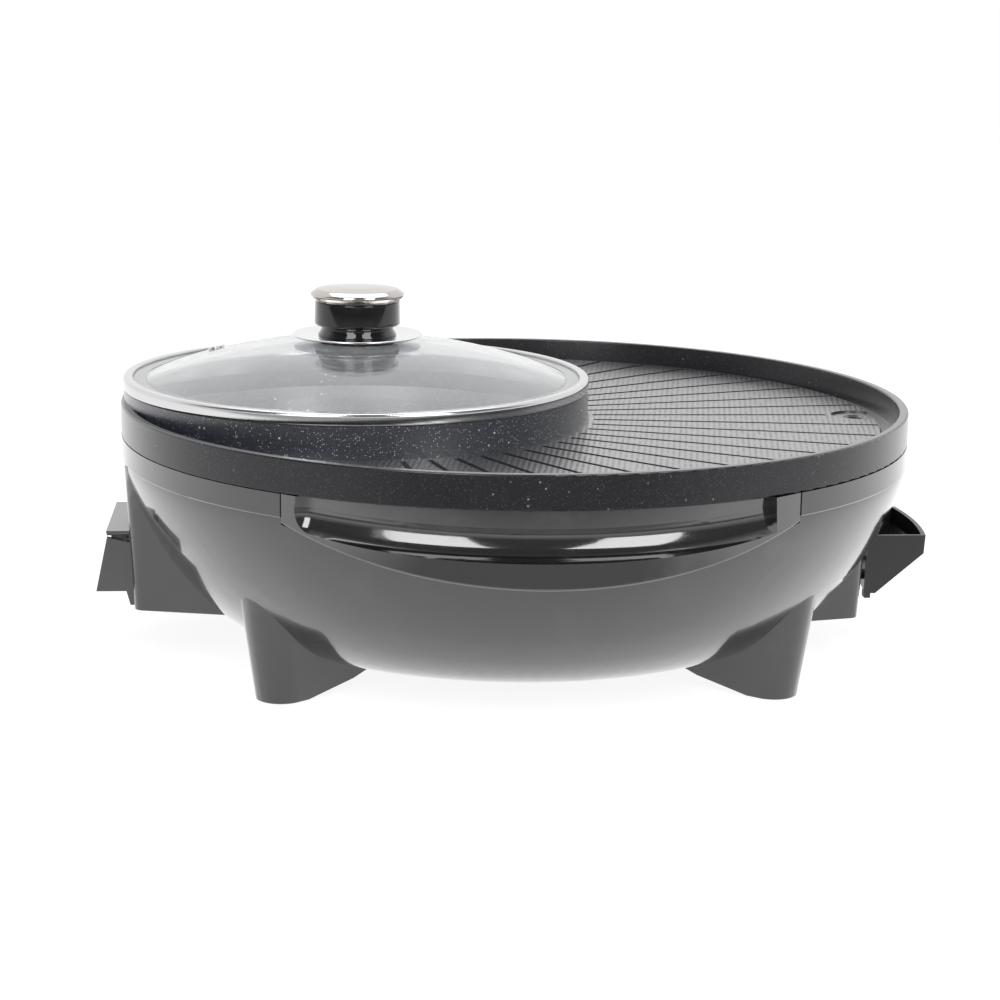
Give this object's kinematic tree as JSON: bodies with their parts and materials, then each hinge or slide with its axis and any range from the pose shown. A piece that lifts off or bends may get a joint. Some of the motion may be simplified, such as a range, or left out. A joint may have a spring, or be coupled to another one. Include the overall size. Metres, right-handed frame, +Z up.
{
  "type": "electric hot pot",
  "caption": "Round electric table grill with a built-in side pot, crescent handles, oil tray and lift-off glass lid.",
  "frame": {"origin": "on the table, under the centre of the round pan", "axes": "+Z up; the pot and the thermostat socket are on -X, the oil drain and its tray on +X, the handles on -Y and +Y"},
  "size_m": [0.4416, 0.431, 0.1923],
  "materials": {
    "gloss_shell": "high gloss black moulding",
    "satin_plastic": "satin dark grey moulding",
    "gloss_knob": "polished black moulding",
    "zinc_screw": "zinc plated",
    "rubber": "soft moulded rubber",
    "aluminised_steel": "aluminised sheet",
    "element_sheath": "heat darkened sheath",
    "ceramic": "unglazed steatite",
    "plated_contact": "nickel plated",
    "stainless": "polished stainless",
    "cast_aluminium": "plain cast",
    "cutout_plastic": "phenolic",
    "silicone_wire": "silicone sleeving",
    "coated_casting": "die cast, non-stick coating with fine pale speckle",
    "clear_glass": "clear tempered",
    "silicone": "moulded silicone",
    "bright_chrome": "bright plated"
  },
  "bodies": {
    "base": {"base_shell": "gloss_shell", "bottom_cover": "satin_plastic", "bottom_screws": "zinc_screw", "rubber_feet": "rubber", "handle_front": "gloss_shell", "handle_rear": "gloss_shell", "handle_screws": "zinc_screw", "heat_shield": "aluminised_steel", "heat_well": "aluminised_steel", "shield_screws": "zinc_screw", "grill_element": "element_sheath", "grill_bushes": "ceramic", "pot_element": "element_sheath", "element_clips": "aluminised_steel", "socket_housing": "satin_plastic", "socket_shelf": "satin_plastic", "socket_insulator": "ceramic", "terminal_pins": "plated_contact", "probe_sleeve": "stainless", "sensor_foot": "cast_aluminium", "thermal_cutout": "cutout_plastic", "lead_wires": "silicone_wire", "drain_chute": "stainless"},
    "pan": {"grill_pot_pan": "coated_casting", "pan_vessel": "coated_casting", "pan_wall": "coated_casting"},
    "lid": {"lid_glass": "clear_glass", "lid_rim": "stainless", "lid_vent": "stainless", "lid_gasket": "silicone", "lid_knob_flange": "bright_chrome", "lid_knob_body": "gloss_knob", "lid_knob_cap": "bright_chrome", "lid_under_cup": "stainless", "lid_screw": "zinc_screw"},
    "tray": {"drip_tray": "satin_plastic"}
  },
  "joints": [
    {"name": "pan_lift", "type": "slide", "parent": "base", "child": "pan", "axis": [0, 0, 1], "range_m": [0, 0.07]},
    {"name": "lid_lift", "type": "slide", "parent": "pan", "child": "lid", "axis": [0, 0, 1], "range_m": [0, 0.06]},
    {"name": "tray_slide", "type": "slide", "parent": "base", "child": "tray", "axis": [1, 0, 0], "range_m": [0, 0.035]}
  ]
}
